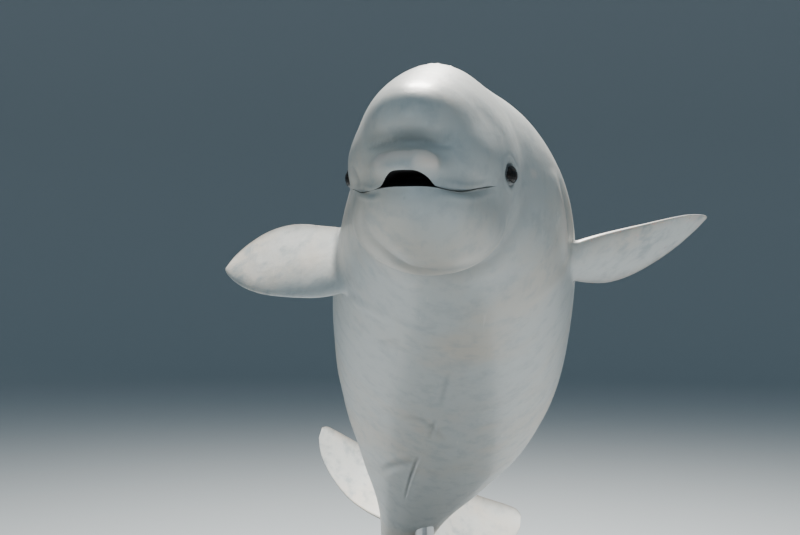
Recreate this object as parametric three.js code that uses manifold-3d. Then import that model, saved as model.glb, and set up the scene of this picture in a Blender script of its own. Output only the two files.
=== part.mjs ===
// A beluga whale, life size, as it hangs in the water in front of a diver: the head level, the body
// sloping down and away behind it, and the flukes flicked up at the end. It is held over the floor by a
// flat base with two short rods under the tail stock.
//
// Units are millimetres. +Z is up, the whale faces -Y, and +X is its left side. The origin is the middle
// of the base's underside. Along the body, places are shares of the whale's length from the snout.
import * as THREE from 'three';
import { LoftGeometry } from 'three/addons/geometries/LoftGeometry.js';
import { mergeVertices } from 'three/addons/utils/BufferGeometryUtils.js';
import Module from 'manifold-3d';

const wasm = await Module();
wasm.setup();

const { cos, sin, hypot, atan2, min, max, abs, exp, PI } = Math;
const radians = THREE.MathUtils.degToRad;
const clamp = THREE.MathUtils.clamp;
const lerp = THREE.MathUtils.lerp;
const vec = (x, y, z) => new THREE.Vector3(x, y, z);
const steps = (from, to, count) => Array.from({ length: count }, (_, i) => lerp(from, to, i / (count - 1)));

// Driving dimensions.
const LENGTH = 3500; // snout to the notch between the flukes
const HEAD_SHARE = 0.086; // the middle of the head, between the eyes
const HEAD_PLACE = vec(-30, -1430, 1549); // where that middle is
const HEAD_CORE = 170; // how far the body itself reaches forward from that middle, under the head's forms
const GAP = 0.3; // between pieces that touch

// How the body lies: the way that each place along it faces. Pitch lifts the nose, yaw turns it to the
// whale's right, and roll carries the back over to the whale's left.
const POSTURE = [
  // share, pitch, yaw, roll
  [0.0, 8, 12, 0],
  [0.1, 8, 12, 0],
  [0.16, 12, 10, 4],
  [0.24, 18, 2, 8],
  [0.36, 22, 1, 10],
  [0.44, 27, 1, 12],
  [0.5, 34, -2, 15],
  [0.56, 40, -6, 19],
  [0.62, 44, -11, 24],
  [0.7, 46, -12, 27],
  [0.78, 44, -11, 28],
  [0.84, 25, -1, 31],
  [0.9, -15, 10, 34],
  [0.95, -40, 15, 37],
  [1.0, -49, 16, 40],
  [1.04, -51, 16, 40],
];

// The body's girth: half its width, its height over the spine and its depth under it, and how square
// its section is.
const GIRTH = [
  // share, half width, over, under, squareness
  [0.086, 150, 150, 150, 2.0],
  [0.12, 188, 244, 190, 2.12],
  [0.16, 238, 281, 228, 2.12],
  [0.2, 278, 288, 262, 2.1],
  [0.26, 312, 305, 292, 2.15],
  [0.34, 344, 325, 322, 2.2],
  [0.42, 362, 325, 340, 2.2],
  [0.5, 366, 312, 340, 2.15],
  [0.56, 346, 295, 316, 2.1],
  [0.6, 320, 280, 290, 2.1],
  [0.64, 278, 262, 258, 2.05],
  [0.68, 232, 240, 226, 2.0],
  [0.72, 176, 212, 192, 2.0],
  [0.76, 132, 185, 162, 2.0],
  [0.8, 104, 158, 138, 2.0],
  [0.85, 84, 130, 115, 2.0],
  [0.9, 58, 92, 82, 2.0],
  [0.94, 38, 50, 48, 2.0],
  [0.97, 24, 26, 26, 2.0],
  [0.99, 12, 12, 12, 2.0],
  [1.04, 10, 10, 10, 2.0],
];

// The low ridge along the back, in the place of a fin: where it is, how high and how wide, in radians.
const RIDGE = { from: 0.46, to: 0.72, height: 15, wide: 0.11 };

// The forms that swell out of the head: middle and half sizes as [to its left, forward, up], the nose's
// tilt, and how widely each melts into the rest. One off the middle line stands on both sides.
const HEAD_FORMS = [
  { at: [0, -10, 0], size: [179, 160, 178], tilt: 0, melt: 60 }, // skull and cheeks
  { at: [0, -60, 80], size: [150, 230, 176], tilt: 0, melt: 60 }, // nape and crown
  { at: [0, 124, 68], size: [108, 164, 102], tilt: 0, melt: 76 }, // melon
  { at: [0, 196, -32], size: [82, 108, 40], tilt: -4, melt: 22 }, // upper beak
  { at: [68, 102, -4], size: [85, 128, 82], tilt: 0, melt: 46 }, // cheeks down over the mouth
  { at: [0, 122, -100], size: [134, 150, 84], tilt: 4, melt: 26 }, // lower jaw
  { at: [0, 30, -108], size: [160, 180, 112], tilt: 0, melt: 40 }, // throat
];

// The mouth's line, as angles seen from the middle of the head: out to the side, up to the lower lip, and
// from there to the upper lip.
const MOUTH_LINE = [
  [0, -16.0, 6.4],
  [5, -16.0, 6.0],
  [9, -16.2, 3.8],
  [12.5, -16.6, 0.7],
  [25, -18.2, 0.7],
  [40, -16.7, 0.7],
  [50, -15.2, 0.7],
  [58, -13.5, 0.7],
];
const MOUTH = { openTo: 13, deep: 120, shallow: 16 }; // depths of the opening and of the closed line

// A flipper's blade, along its span from inside the chest: how far its leading and trailing edge lie
// from the line to its tip, its thickness, and how far it bends up.
const FLIPPER = [
  // place, leading, trailing, thickness, bend
  [-0.22, 64, 78, 60, 0],
  [0.0, 88, 98, 50, 0],
  [0.14, 96, 112, 44, 2],
  [0.3, 94, 140, 39, 4],
  [0.46, 88, 163, 33, 6],
  [0.62, 79, 165, 27, 6],
  [0.77, 62, 142, 21, 3],
  [0.89, 38, 100, 15, 0],
  [0.97, 15, 50, 9, -4],
  [1.0, 2, 12, 5, -6],
];
const SWELL_FADES = 0.3;
const CHEST_END = 0.45; // the flippers stand on the body before this
const FLIPPERS = {
  // root and tip, the way from the trailing to the leading edge, the blade's size, and how much its
  // trailing edge swells at the root
  left: {
    root: [318, -905, 1352],
    tip: [745, -730, 1484],
    lead: [0.25, -0.77, 0.59],
    size: 1.05,
    swell: -32,
  },
  right: {
    root: [-250, -800, 1350],
    tip: [-600, -560, 1339],
    lead: [-0.22, -0.6, -0.77],
    size: 1.035,
    swell: 42,
  },
};

// A fluke, out from the middle: the shares of the length where its edges lie, its thickness, and how far
// it bends up.
const FLUKE = [
  // out, leading, trailing, thickness, bend
  [0, 0.898, 0.985, 58, 0],
  [50, 0.898, 0.994, 50, -7],
  [120, 0.899, 1.002, 42, -24],
  [200, 0.902, 1.005, 34, -38],
  [290, 0.91, 1.005, 26, -44],
  [380, 0.928, 1.006, 19, -36],
  [440, 0.948, 1.006, 14, -26],
  [480, 0.966, 1.004, 9, -16],
  [502, 0.981, 0.998, 5, -8],
];

// Each eye: its angles round from the nose and up, how deep its ball's middle is, the ball's radius, the
// way it looks, half the opening's length and height, and the lids' thickness and place before the ball.
const EYE = {
  side: 81,
  rise: -2.5,
  sunk: 14,
  ball: 23,
  looks: 58,
  long: 17,
  high: 19,
  lid: 6,
  lidOut: 14,
};

// The blowhole's crescent on the crown, and the ears' pinholes behind the eyes.
const BLOWHOLE = { ahead: 12, radius: 26, width: 5.5, depth: 16 };
const EAR = { side: 104, rise: -5, radius: 2.2, depth: 9 };

// Where the flesh is parted, as shares of the length, and what the parts are called from the snout back.
const PARTINGS = [0.125, 0.175, 0.33, 0.5, 0.66, 0.8, 0.895];
const FLUKE_MIDDLE = 0.95; // the cut between the flukes is square to the body here
const PARTS = ['head', 'neck', 'chest', 'belly', 'loins', 'tail_stock_front', 'tail_stock_rear'];

// The lower jaw is parted from the head along the mouth's line, and the melon by a rounded cut.
const JAW_REACH = 420;
const MELON_CUT = { at: [0, 165, 105], size: [168, 150, 118] };

// The display stand.
const BASE = { length: 2200, width: 1000, height: 36, corner: 120, edge: 6 };
const RODS = { front: [0.69, 34], rear: [0.86, 28] }; // place along the body and radius
const ROD_SOCKET = 70; // how far a rod goes up into the body
const FLANGE = { reach: 50, height: 16, chamfer: 4 };

// How finely the flesh is drawn: points round it, and rings along the body, over the face from the back
// of the head to the lips, and into the mouth.
const COLUMNS = 52;
const BODY_RINGS = [...steps(0.985, 0.84, 10), ...steps(0.81, 0.24, 17), ...steps(0.21, 0.1, 8)];
const FACE_RINGS = [
  ...steps(1, 0.4, 8),
  ...[0.34, 0.28, 0.23, 0.19, 0.155, 0.125, 0.1, 0.075, 0.05, 0.028, 0.012, 0],
];
const MOUTH_RINGS = [0.1, 0.35, 1];

// A smooth curve through a table's rows. The first column is the place, the others are what is read there.
function smoothTable(rows) {
  const slope = (i, k) => {
    const a = rows[max(i - 1, 0)];
    const b = rows[min(i + 1, rows.length - 1)];
    return (b[k] - a[k]) / (b[0] - a[0]);
  };
  return (place, k) => {
    const at = clamp(place, rows[0][0], rows[rows.length - 1][0]);
    let i = rows.findIndex((row) => row[0] > at) - 1;
    if (i < 0) i = rows.length - 2;
    const span = rows[i + 1][0] - rows[i][0];
    const t = (at - rows[i][0]) / span;
    const rise = rows[i + 1][k] - rows[i][k];
    const [m, n] = [slope(i, k) * span, slope(i + 1, k) * span];
    return rows[i][k] + t * m + t * t * (3 * rise - 2 * m - n) + t * t * t * (m + n - 2 * rise);
  };
}

const posture = smoothTable(POSTURE);
const girth = smoothTable(GIRTH);

// The way that a place along the body faces: its left side, the way to the snout, and its back.
function axesAt(share) {
  const [pitch, yaw, roll] = [1, 2, 3].map((k) => radians(posture(share, k)));
  const forward = vec(-sin(yaw) * cos(pitch), -cos(yaw) * cos(pitch), sin(pitch));
  const level = vec(cos(yaw), -sin(yaw), 0);
  const upright = vec(sin(yaw) * sin(pitch), cos(yaw) * sin(pitch), cos(pitch));
  const up = upright.clone().multiplyScalar(cos(roll)).addScaledVector(level, sin(roll));
  const left = level.clone().multiplyScalar(cos(roll)).addScaledVector(upright, -sin(roll));
  return { left, forward, up };
}

// The spine, walked from the middle of the head both ways in short steps.
const STEP = 0.002;
const spine = new Map([[0, HEAD_PLACE.clone()]]);
for (const way of [1, -1]) {
  const place = HEAD_PLACE.clone();
  const steps = Math.round((way > 0 ? 1.04 - HEAD_SHARE : HEAD_SHARE) / STEP);
  for (let i = 1; i <= steps; i++) {
    const { forward } = axesAt(HEAD_SHARE + way * (i - 0.5) * STEP);
    place.addScaledVector(forward, -way * STEP * LENGTH);
    spine.set(way * i, place.clone());
  }
}

function spineAt(share) {
  const at = (share - HEAD_SHARE) / STEP;
  const low = Math.floor(at);
  const a = spine.get(low) ?? spine.get(Math.ceil(at));
  const b = spine.get(low + 1) ?? a;
  return a.clone().lerp(b, at - low);
}

const headAxes = axesAt(HEAD_SHARE);
const headMatrix = new THREE.Matrix4()
  .makeBasis(headAxes.left, headAxes.forward, headAxes.up)
  .setPosition(HEAD_PLACE);
const intoHead = headMatrix.clone().invert();

// How far the body's own section reaches from the spine, at an angle round it from the left side.
function sectionReach(share, angle) {
  const wide = girth(share, 1);
  const high = girth(share, sin(angle) > 0 ? 2 : 3);
  const square = girth(share, 4);
  const along = clamp((share - RIDGE.from) / (RIDGE.to - RIDGE.from), 0, 1);
  const ridge = RIDGE.height * sin(PI * along) * exp(-(((angle - PI / 2) / RIDGE.wide) ** 2));
  return (abs(cos(angle) / wide) ** square + abs(sin(angle) / high) ** square) ** (-1 / square) + ridge;
}

// Distance to an ellipsoid, near enough for blending.
function toEllipsoid(p, form, mirror) {
  const [x, y, z] = [p.x - mirror * form.at[0], p.y - form.at[1], p.z - form.at[2]];
  const turn = radians(form.tilt);
  const [f, u] = [y * cos(turn) + z * sin(turn), z * cos(turn) - y * sin(turn)];
  const [a, b, c] = form.size;
  const k = hypot(x / a, f / b, u / c);
  const g = hypot(x / a ** 2, f / b ** 2, u / c ** 2);
  return g > 0 ? (k * (k - 1)) / g : -min(a, b, c);
}

function melt(a, b, width) {
  const h = max(width - abs(a - b), 0) / width;
  return min(a, b) - (h * h * width) / 4;
}

// Below zero inside the head's forms, at a point in the head's own frame.
function headField(p, start) {
  let d = start;
  for (const form of HEAD_FORMS) {
    for (const mirror of form.at[0] ? [1, -1] : [1]) d = melt(d, toEllipsoid(p, form, mirror), form.melt);
  }
  return d;
}

// How far a ray from inside the body goes before it leaves the skin.
function skinReach(origin, way, bodyReach) {
  const probe = vec();
  const outside = (t) => {
    probe.copy(way).multiplyScalar(t).add(origin).applyMatrix4(intoHead);
    return headField(probe, t - bodyReach) > 0;
  };
  let [low, high] = [0, 80];
  while (!outside(high) && high < 900) {
    low = high;
    high += 20;
  }
  for (let i = 0; i < 16; i++) {
    const middle = (low + high) / 2;
    if (outside(middle)) high = middle;
    else low = middle;
  }
  return low;
}

// How far the skin is from the middle of the head, in a direction of the head's own frame.
function headReach(way) {
  const section = sectionReach(HEAD_SHARE, atan2(way.z, way.x));
  const own = 1 / hypot(hypot(way.x, way.z) / section, way.y / HEAD_CORE);
  return skinReach(HEAD_PLACE, way.clone().transformDirection(headMatrix), own);
}

const mouthLine = smoothTable(MOUTH_LINE);
const MOUTH_CORNER = MOUTH_LINE[MOUTH_LINE.length - 1][0];

// A direction in the head's frame: so far round to the left, and so far up.
function headWay(side, rise) {
  const [a, e] = [radians(side), radians(rise)];
  return vec(sin(a) * cos(e), cos(a) * cos(e), sin(e));
}

// How far to the side a column of points stands on the lips. Columns run from the left corner over the
// upper lip to the right corner and back along the lower lip.
const mouthSide = (j) => MOUTH_CORNER * (1 - (4 * min(j, COLUMNS - j)) / COLUMNS);

// The direction of the lips at a column of points, drawn together towards the middle of their gap.
function lipsWay(j, together) {
  const angle = (2 * PI * j) / COLUMNS;
  const side = mouthSide(j);
  const gap = mouthLine(abs(side), 2) * min(1, 4 * abs(sin(angle)));
  const share = lerp(sin(angle) > 0 ? 1 : 0, 0.5, together);
  return headWay(side, mouthLine(abs(side), 1) + gap * share);
}

// The face's ring: open goes from 0 at the lips to 1 round the back of the head.
function faceRing(open) {
  return Array.from({ length: COLUMNS }, (_, j) => {
    const angle = (2 * PI * j) / COLUMNS;
    const lips = lipsWay(j, 0);
    const rim = vec(cos(angle), 0, sin(angle));
    const between = lips.angleTo(rim);
    const way = lips.multiplyScalar(sin((1 - open) * between)).addScaledVector(rim, sin(open * between));
    way.normalize();
    return way.multiplyScalar(headReach(way)).applyMatrix4(headMatrix);
  });
}

// A ring inside the mouth: deep goes from 0 at the lips to 1 at the back, where both sides meet.
function mouthRing(deep) {
  return Array.from({ length: COLUMNS }, (_, j) => {
    const depth = lerp(MOUTH.shallow, MOUTH.deep, exp(-((mouthSide(j) / MOUTH.openTo) ** 6)));
    const way = lipsWay(j, deep === 1 ? 1 : 0.5 * deep);
    return way.multiplyScalar(headReach(way) - deep * depth).applyMatrix4(headMatrix);
  });
}

// A ring round the body at a share of its length, swollen by a gap.
function bodyRing(share, swell = 0) {
  const { left, up } = axesAt(share);
  const origin = spineAt(share);
  return Array.from({ length: COLUMNS }, (_, j) => {
    const angle = (2 * PI * j) / COLUMNS;
    const way = left.clone().multiplyScalar(cos(angle)).addScaledVector(up, sin(angle));
    const own = sectionReach(share, angle);
    const reach = share < 0.3 ? skinReach(origin, way, own) : own;
    return way.multiplyScalar(reach + swell).add(origin);
  });
}

// A solid from a closed geometry. Points that coincide become one, and faces that vanish by it go.
function solid(geometry) {
  const bare = new THREE.BufferGeometry();
  bare.setAttribute('position', geometry.attributes.position);
  bare.setIndex(geometry.index);
  const merged = mergeVertices(bare, 1e-3);
  const faces = [];
  for (let i = 0; i < merged.index.count; i += 3) {
    const [a, b, c] = [0, 1, 2].map((k) => merged.index.getX(i + k));
    if (a !== b && b !== c && c !== a) faces.push(a, b, c);
  }
  return new wasm.Manifold(
    new wasm.Mesh({
      numProp: 3,
      vertProperties: merged.attributes.position.array,
      triVerts: new Uint32Array(faces),
    }),
  );
}

// Rings of points, from one end to the other. The first and the last ring is a point or is folded flat,
// so that it closes on itself.
const loft = (rings) => solid(new LoftGeometry(rings));

const pointRing = (point, count = COLUMNS) => Array.from({ length: count }, () => point.clone());

// A solid whose sections are flat at its ends.
const prism = (rings) => solid(new LoftGeometry(rings, { capStart: true, capEnd: true }));

const flesh = loft([
  pointRing(spineAt(BODY_RINGS[0])),
  ...BODY_RINGS.map((share) => bodyRing(share)),
  ...FACE_RINGS.map(faceRing),
  ...MOUTH_RINGS.map(mouthRing),
]);

// A foil's outline from the leading edge over its upper side to the trailing edge and back, as shares
// of its chord and of its thickness.
const FOIL_POINTS = 16;
const foil = Array.from({ length: FOIL_POINTS }, (_, i) => {
  const turn = (2 * PI * i) / FOIL_POINTS;
  const along = (1 - cos(turn)) / 2;
  const thick = sin(turn) * (1 - 0.62 * along ** 1.5) * 0.62;
  return [along, thick];
});

// Both flippers: a foil laid across the line from root to tip.
const flipperTable = smoothTable(FLIPPER);
function flipper({ root, tip, lead, size, swell }, upright) {
  const [from, to] = [vec(...root), vec(...tip)];
  const span = to.clone().sub(from);
  const leading = vec(...lead).normalize();
  const upper = span.clone().cross(leading).normalize().multiplyScalar(upright);
  const places = [-0.22, ...steps(-0.2, 0.85, 11), 0.91, 0.95, 0.98, 0.995, 1.0];
  const rings = places.map((place, i) => {
    const middle = from.clone().addScaledVector(span, place).addScaledVector(upper, flipperTable(place, 4));
    const front = flipperTable(place, 1) * size;
    const back = flipperTable(place, 2) * size + swell * exp(-((place / SWELL_FADES) ** 2));
    const thick = i === 0 || i === places.length - 1 ? 0 : flipperTable(place, 3);
    return foil.map(([along, rise]) =>
      middle
        .clone()
        .addScaledVector(leading, lerp(front, -back, along))
        .addScaledVector(upper, thick * rise),
    );
  });
  return loft(upright > 0 ? rings : rings.reverse());
}

// The two flukes as one blade across the tail's end, from the whale's left tip to its right.
const flukeTable = smoothTable(FLUKE);
const flukeOuts = [0, 40, 90, 145, 200, 255, 312, 368, 412, 448, 474, 491, 502];
const flukes = loft(
  [...flukeOuts.slice(1).reverse(), ...flukeOuts.map((out) => -out)].map((out) => {
    const [front, back] = [1, 2].map((k) => flukeTable(abs(out), k));
    const thick = abs(out) === flukeOuts.at(-1) ? 0 : flukeTable(abs(out), 3);
    const bend = flukeTable(abs(out), 4);
    return foil.map(([along, rise]) => {
      const share = lerp(front, back, along);
      const { left, up } = axesAt(share);
      return spineAt(share).addScaledVector(left, out).addScaledVector(up, bend + thick * rise);
    });
  }),
);

// A solid in the head's own frame.
const onHead = (body) => body.transform(headMatrix.elements);

function ellipsoid(at, size, columns = 26, rows = 16) {
  const shape = new THREE.SphereGeometry(1, columns, rows);
  return onHead(solid(shape.scale(...size).translate(...at)));
}

// The eyes' balls, and the fleshy lids that ring them and stand out from the head.
const eyes = Object.entries({ left: 1, right: -1 }).map(([name, mirror]) => {
  const out = headWay(mirror * EYE.side, EYE.rise);
  const middle = out.multiplyScalar(headReach(out) - EYE.sunk);
  const turn = new THREE.Matrix4().lookAt(headWay(mirror * EYE.looks, 0), vec(0, 0, 0), vec(0, 0, 1));
  const place = (shape) => onHead(solid(shape.applyMatrix4(turn).translate(...middle)));
  const tube = EYE.lid / (EYE.long + EYE.lid);
  const lid = new THREE.TorusGeometry(1, tube, 8, 20);
  lid.scale(EYE.lid / tube, EYE.high / (1 - tube), EYE.lid / tube);
  lid.translate(0, 0, EYE.lidOut);
  return {
    name: `eye_${name}`,
    ball: place(new THREE.SphereGeometry(EYE.ball, 18, 12)),
    socket: place(new THREE.SphereGeometry(EYE.ball + GAP, 18, 12)),
    lid: place(lid),
  };
});

// The blowhole: a crescent slit on the crown, its horns forward.
const crownReach = headReach(vec(0, 0, 1));
const slitPoint = (turn, swell) => {
  const middle = vec(BLOWHOLE.radius * cos(turn), BLOWHOLE.ahead - BLOWHOLE.radius * sin(turn), crownReach);
  if (!swell) return pointRing(middle, 8);
  return steps(0, (7 / 4) * PI, 8).map((round) => {
    const out = BLOWHOLE.width * swell * cos(round);
    const shift = vec(out * cos(turn), -out * sin(turn), BLOWHOLE.depth * swell * sin(round));
    return shift.add(middle);
  });
};
const slit = steps(0, PI, 13).map((turn) => slitPoint(turn, max(0, sin(turn)) ** 0.5));
const blowhole = onHead(solid(new LoftGeometry(slit)));

// The ears' pinholes.
const ears = [1, -1].map((mirror) => {
  const way = headWay(mirror * EAR.side, EAR.rise);
  const pin = new THREE.CylinderGeometry(EAR.radius, EAR.radius, 2 * EAR.depth, 10);
  pin.applyQuaternion(new THREE.Quaternion().setFromUnitVectors(vec(0, 1, 0), way));
  return onHead(solid(pin.translate(...way.multiplyScalar(headReach(way)))));
});

// The wedge that the lower jaw lies in, under a fan from the middle of the head through the mouth's line.
function jawWedge(shift) {
  const rings = steps(MOUTH_CORNER, -MOUTH_CORNER, 21).map((side) => {
    const rise = mouthLine(abs(side), 1) + mouthLine(abs(side), 2) / 2;
    const edge = headWay(side, rise).multiplyScalar(JAW_REACH);
    const below = vec(0, 0, -JAW_REACH);
    return [vec(0, 0, 0), edge, edge.clone().add(below), below].map((p) => p.add(vec(0, shift, -shift)));
  });
  return onHead(prism(rings));
}

// A thin cut that parts the flesh, across the body or lengthwise along its middle.
function thinCut(share, lengthwise = false) {
  const { left, forward, up } = axesAt(share);
  const reach = lengthwise ? FLUKE.at(-1)[0] : 2.7 * max(...[1, 2, 3].map((k) => girth(share, k)));
  const slab = solid(new THREE.BoxGeometry(...(lengthwise ? [GAP, reach, reach] : [reach, GAP, reach])));
  const place = new THREE.Matrix4().makeBasis(left, forward, up).setPosition(spineAt(share));
  return slab.transform(place.elements);
}

// The stand's rods stand on the base under the tail stock and end in sockets in the flesh.
const upright = (radius, from, to, turns = 24) => {
  const shape = new THREE.CylinderGeometry(radius, radius, to - from, turns);
  return shape.rotateX(PI / 2).translate(0, 0, (from + to) / 2);
};
const rods = Object.entries(RODS).map(([name, [share, radius]]) => {
  const { x, y, z } = spineAt(share);
  const skin = flesh.intersect(solid(upright(radius, 0, z).translate(x, y, 0))).boundingBox().min[2];
  const top = skin + ROD_SOCKET;
  const inner = radius + GAP;
  const outer = radius + FLANGE.reach;
  const foot = BASE.height + GAP;
  const profile = [
    [inner, foot],
    [outer, foot],
    [outer, foot + FLANGE.height - FLANGE.chamfer],
    [outer - FLANGE.chamfer, foot + FLANGE.height],
    [inner, foot + FLANGE.height],
    [inner, foot],
  ].map(([out, high]) => new THREE.Vector2(out, high));
  return {
    name,
    rod: solid(upright(radius, foot, top).translate(x, y, 0)),
    socket: solid(upright(inner, 0, top + GAP).translate(x, y, 0)),
    flange: solid(new THREE.LatheGeometry(profile, 32).rotateX(PI / 2).translate(x, y, 0)),
  };
});

// The base: a flat plate with rounded corners and a small bevel.
const plate = new THREE.Shape();
const [halfX, halfY] = [BASE.width / 2 - BASE.edge, BASE.length / 2 - BASE.edge];
const corner = BASE.corner - BASE.edge;
plate.absarc(halfX - corner, halfY - corner, corner, 0, PI / 2);
plate.absarc(corner - halfX, halfY - corner, corner, PI / 2, PI);
plate.absarc(corner - halfX, corner - halfY, corner, PI, 1.5 * PI);
plate.absarc(halfX - corner, corner - halfY, corner, 1.5 * PI, 2 * PI);
const base = new THREE.ExtrudeGeometry(plate, {
  depth: BASE.height - 2 * BASE.edge,
  bevelSize: BASE.edge,
  bevelThickness: BASE.edge,
  bevelSegments: 1,
  curveSegments: 6,
}).translate(0, 0, BASE.edge);

const join = (bodies) => bodies.reduce((all, body) => all.add(body));

// The one largest piece of a body, without scraps.
const largest = (body) => byVolume(body.decompose())[0];

// The flesh with its flukes, lids, sockets and slits, parted into named pieces from the snout back.
const dressed = flesh
  .add(flukes)
  .add(join(eyes.map((eye) => eye.lid)))
  .subtract(join([...eyes.map((eye) => eye.socket), ...rods.map((rod) => rod.socket), ...ears, blowhole]));
const middle = (body, axis) => body.boundingBox().min[axis] + body.boundingBox().max[axis];
const byVolume = (bodies) => bodies.sort((a, b) => b.volume() - a.volume());
const pieces = byVolume(dressed.subtract(join(PARTINGS.map((share) => thinCut(share)))).decompose())
  .slice(0, PARTS.length + 1)
  .sort((a, b) => middle(a, 1) - middle(b, 1));
const lobes = byVolume(pieces.pop().subtract(thinCut(FLUKE_MIDDLE, true)).decompose())
  .slice(0, 2)
  .sort((a, b) => middle(b, 0) - middle(a, 0));

const [wholeHead] = pieces;
const melonPart = (gap) => ellipsoid(MELON_CUT.at, MELON_CUT.size.map((size) => size - gap));
const chestRings = BODY_RINGS.filter((share) => share < CHEST_END);
const flippersOff = loft([
  pointRing(spineAt(chestRings[0])),
  ...chestRings.map((share) => bodyRing(share, GAP)),
  pointRing(spineAt(chestRings.at(-1))),
]);

const materials = {
  skin: new THREE.MeshStandardMaterial({ color: 0xd9dcdb, roughness: 0.45, metalness: 0 }),
  eye: new THREE.MeshStandardMaterial({ color: 0x1c1716, roughness: 0.12, metalness: 0 }),
  base: new THREE.MeshStandardMaterial({ color: 0x3b3f44, roughness: 0.55, metalness: 0 }),
  steel: new THREE.MeshStandardMaterial({ color: 0xb4b7ba, roughness: 0.32, metalness: 1 }),
};

const whale = new THREE.Group();
function addNode(name, body, material) {
  const mesh = largest(body).getMesh();
  const geometry = new THREE.BufferGeometry();
  geometry.setAttribute('position', new THREE.BufferAttribute(new Float32Array(mesh.vertProperties), 3));
  geometry.setIndex(new THREE.BufferAttribute(new Uint32Array(mesh.triVerts), 1));
  geometry.computeVertexNormals();
  const node = new THREE.Mesh(geometry, material);
  node.name = name;
  whale.add(node);
}

addNode('head', wholeHead.subtract(jawWedge(0)).subtract(melonPart(0)), materials.skin);
addNode('melon', wholeHead.intersect(melonPart(GAP)), materials.skin);
addNode('lower_jaw', wholeHead.intersect(jawWedge(GAP)), materials.skin);
for (const [i, name] of PARTS.entries()) {
  if (i > 0) addNode(name, pieces[i], materials.skin);
}
addNode('fluke_left', lobes[0], materials.skin);
addNode('fluke_right', lobes[1], materials.skin);
addNode('flipper_left', flipper(FLIPPERS.left, 1).subtract(flippersOff), materials.skin);
addNode('flipper_right', flipper(FLIPPERS.right, -1).subtract(flippersOff), materials.skin);
for (const eye of eyes) addNode(eye.name, eye.ball, materials.eye);
addNode('stand_base', solid(base), materials.base);
for (const rod of rods) {
  addNode(`stand_rod_${rod.name}`, rod.rod, materials.steel);
  addNode(`stand_flange_${rod.name}`, rod.flange, materials.steel);
}

export default whale;
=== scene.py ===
import math

import bmesh
import bpy
import numpy as np
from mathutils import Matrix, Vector
from mathutils.kdtree import KDTree


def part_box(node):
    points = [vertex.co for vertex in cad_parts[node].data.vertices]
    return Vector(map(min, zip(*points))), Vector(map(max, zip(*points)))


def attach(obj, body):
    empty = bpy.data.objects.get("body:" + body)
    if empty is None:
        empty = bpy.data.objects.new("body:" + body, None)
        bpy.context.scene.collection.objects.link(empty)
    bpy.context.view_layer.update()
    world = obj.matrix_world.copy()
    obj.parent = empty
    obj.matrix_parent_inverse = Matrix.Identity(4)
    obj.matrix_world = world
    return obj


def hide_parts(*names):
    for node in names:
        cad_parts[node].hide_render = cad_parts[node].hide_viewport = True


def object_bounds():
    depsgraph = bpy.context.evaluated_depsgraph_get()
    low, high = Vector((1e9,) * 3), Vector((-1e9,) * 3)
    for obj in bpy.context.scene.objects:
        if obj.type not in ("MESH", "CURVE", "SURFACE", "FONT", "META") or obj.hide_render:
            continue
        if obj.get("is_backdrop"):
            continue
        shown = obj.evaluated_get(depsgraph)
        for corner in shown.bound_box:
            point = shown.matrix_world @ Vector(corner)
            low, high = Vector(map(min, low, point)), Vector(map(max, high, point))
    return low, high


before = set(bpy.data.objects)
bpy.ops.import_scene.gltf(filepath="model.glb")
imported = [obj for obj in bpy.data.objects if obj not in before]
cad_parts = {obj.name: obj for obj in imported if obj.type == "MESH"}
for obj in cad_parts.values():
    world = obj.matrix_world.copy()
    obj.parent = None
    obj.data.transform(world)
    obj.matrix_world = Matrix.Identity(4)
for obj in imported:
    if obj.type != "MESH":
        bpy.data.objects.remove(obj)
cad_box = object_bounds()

# Camera. The photograph's camera hangs level in front of the whale at the height of its throat, and looks
# straight along +Y.
PHOTO = (800, 535)  # the photograph's width and height in pixels
FOCAL_PIXELS = 1227.0
EYE_POINT = np.array([-0.1, -4.1, 1.35])
SENSOR = 36.0
SEES_TO = 60.0  # past the studio's wall

camera = bpy.data.objects.new("camera", bpy.data.cameras.new("camera"))
camera.data.sensor_width = SENSOR
camera.data.lens = FOCAL_PIXELS / PHOTO[0] * SENSOR
camera.data.clip_end = SEES_TO
camera.location = EYE_POINT
camera.rotation_euler = (math.radians(90), 0, 0)
bpy.context.collection.objects.link(camera)
bpy.context.scene.camera = camera


def photo_pixel(points):
    """Where points, an (n, 3) array, fall in the photograph, in its pixels."""
    away = points - EYE_POINT
    across = PHOTO[0] / 2 + FOCAL_PIXELS * away[:, 0] / away[:, 1]
    down = PHOTO[1] / 2 - FOCAL_PIXELS * away[:, 2] / away[:, 1]
    return np.stack([across, down], 1)


# Floor and light. A plain studio floor of matt paper, round, that curves up into a wall far behind on every
# side, a soft warm lamp high over the whale in the place of the daylight, and a faint cool one far in front.
FLOOR_FLAT = 11.0
FLAT_RINGS = 8
FLOOR_CURVE = 3.5
WALL_HIGH = 6.5
CURVE_STEPS = 16
FLOOR_TURNS = 96
PAPER = (0.46, 0.5, 0.53, 1)
AIR = (0.58, 0.77, 0.89, 1)
AIR_STRENGTH = 0.3


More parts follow.
